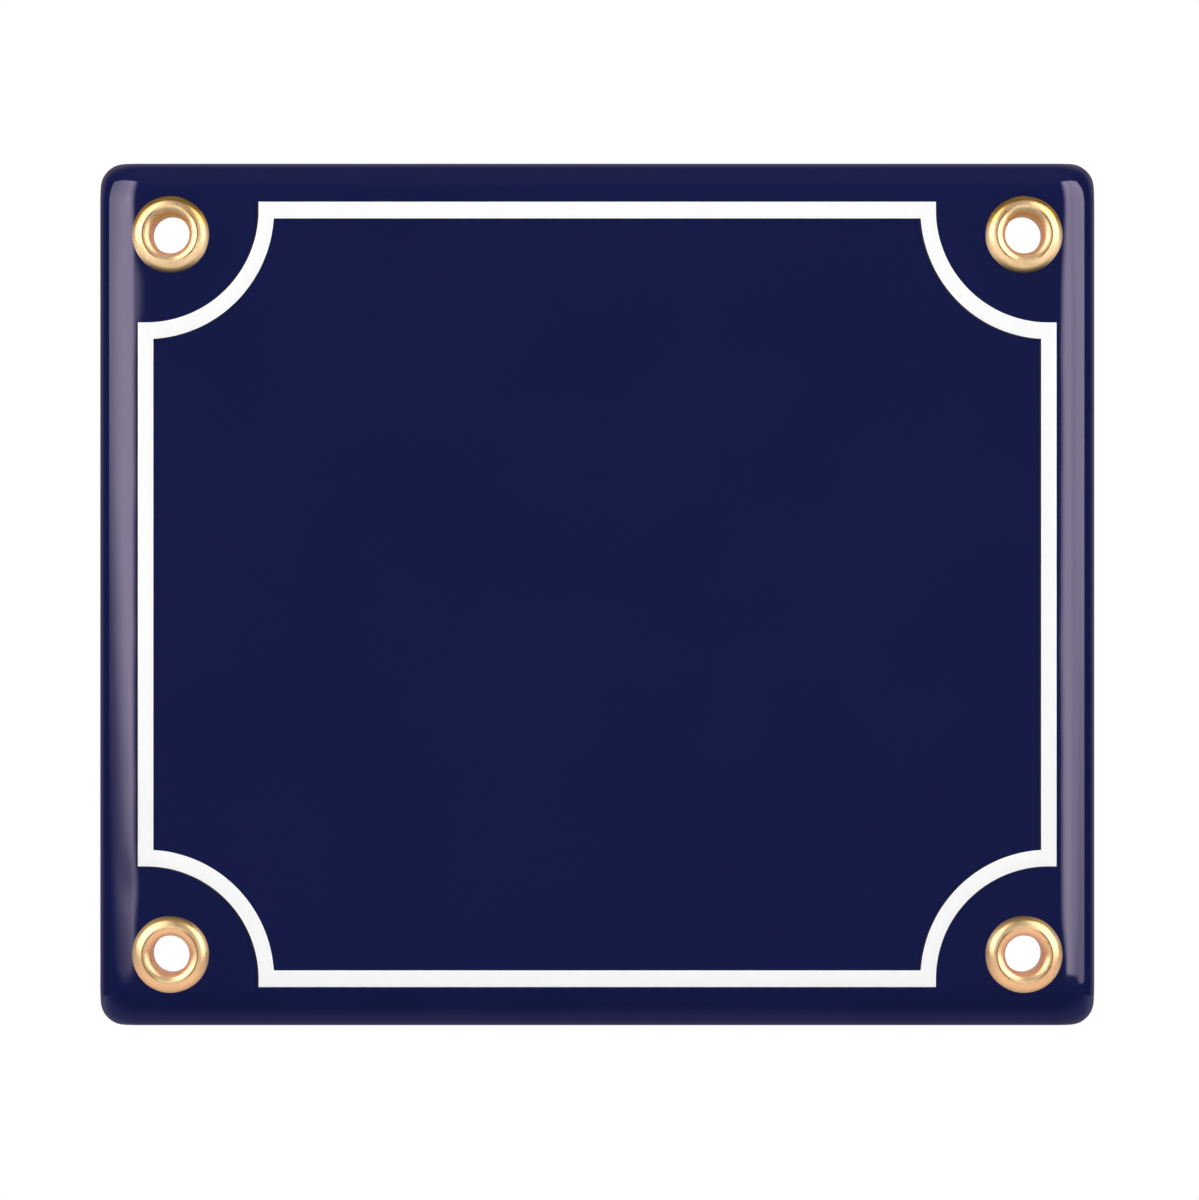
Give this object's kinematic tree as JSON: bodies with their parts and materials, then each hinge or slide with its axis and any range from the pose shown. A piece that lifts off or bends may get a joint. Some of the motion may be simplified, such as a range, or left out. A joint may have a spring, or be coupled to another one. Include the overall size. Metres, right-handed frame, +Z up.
{
  "type": "enamel house number plaque",
  "caption": "Blank rectangular enamelled steel plaque with pressed-back edges, a white line with concave corners, and a brass eyelet for a screw in each corner.",
  "frame": {"origin": "centre of the four fixing holes, in the plane of the plate's flat blue face", "axes": "+X to the right across the width, +Z up, the face looks along -Y and the wall is at +Y"},
  "size_m": [0.15, 0.0057, 0.13],
  "materials": {
    "blue_enamel": "gloss",
    "white_enamel": "gloss",
    "eyelet_brass": "polished"
  },
  "bodies": {
    "root": {"enamel_plate": "blue_enamel", "white_border": "white_enamel", "eyelet_top_left": "eyelet_brass", "eyelet_top_right": "eyelet_brass", "eyelet_bottom_left": "eyelet_brass", "eyelet_bottom_right": "eyelet_brass"}
  },
  "joints": []
}
